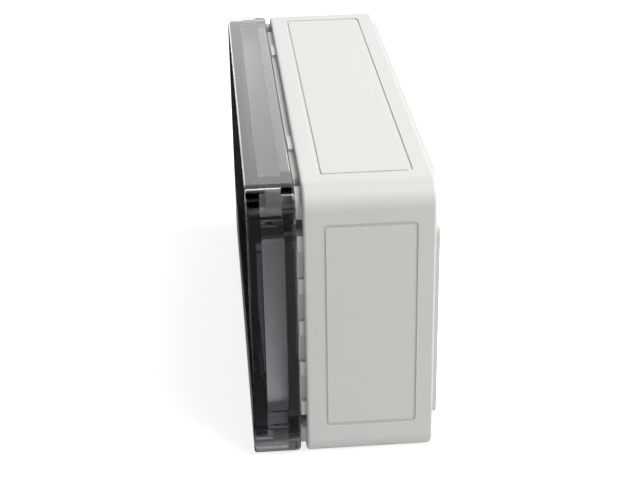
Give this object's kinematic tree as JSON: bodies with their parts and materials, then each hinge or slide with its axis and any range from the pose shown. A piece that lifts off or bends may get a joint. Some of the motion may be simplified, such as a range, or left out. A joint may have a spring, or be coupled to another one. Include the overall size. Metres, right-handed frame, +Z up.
{
  "type": "plastic wall enclosure",
  "caption": "Shallow rectangular wall enclosure of light grey plastic with a deep smoked lid, a seal on a raised tongue and captive lid screws in the corners.",
  "frame": {"origin": "middle of the long side it stands on, under the middle of the case", "axes": "+X along the case, +Y from the lid to the wall, +Z up"},
  "size_m": [0.18, 0.0584, 0.094],
  "materials": {
    "grey_plastic": "satin moulded light grey",
    "smoked_plastic": "glossy smoked clear",
    "black_rubber": "matte",
    "screw_plastic": "satin moulded grey"
  },
  "bodies": {
    "base": {"base": "grey_plastic"},
    "lid": {"lid": "smoked_plastic", "seal": "black_rubber"},
    "screw_top_left": {"screw_top_left": "screw_plastic"},
    "screw_top_right": {"screw_top_right": "screw_plastic"},
    "screw_bottom_left": {"screw_bottom_left": "screw_plastic"},
    "screw_bottom_right": {"screw_bottom_right": "screw_plastic"}
  },
  "joints": [
    {"name": "lid_lift", "type": "slide", "parent": "base", "child": "lid", "axis": [0, -1, 0], "range_m": [0, 0.06]},
    {"name": "turn_top_left", "type": "hinge", "parent": "lid", "child": "screw_top_left", "pos_m": [-0.0835, -0.021, 0.0875], "axis": [0, 1, 0], "continuous": true},
    {"name": "turn_top_right", "type": "hinge", "parent": "lid", "child": "screw_top_right", "pos_m": [0.0835, -0.021, 0.0875], "axis": [0, 1, 0], "continuous": true},
    {"name": "turn_bottom_left", "type": "hinge", "parent": "lid", "child": "screw_bottom_left", "pos_m": [-0.0835, -0.021, 0.0065], "axis": [0, 1, 0], "continuous": true},
    {"name": "turn_bottom_right", "type": "hinge", "parent": "lid", "child": "screw_bottom_right", "pos_m": [0.0835, -0.021, 0.0065], "axis": [0, 1, 0], "continuous": true}
  ]
}
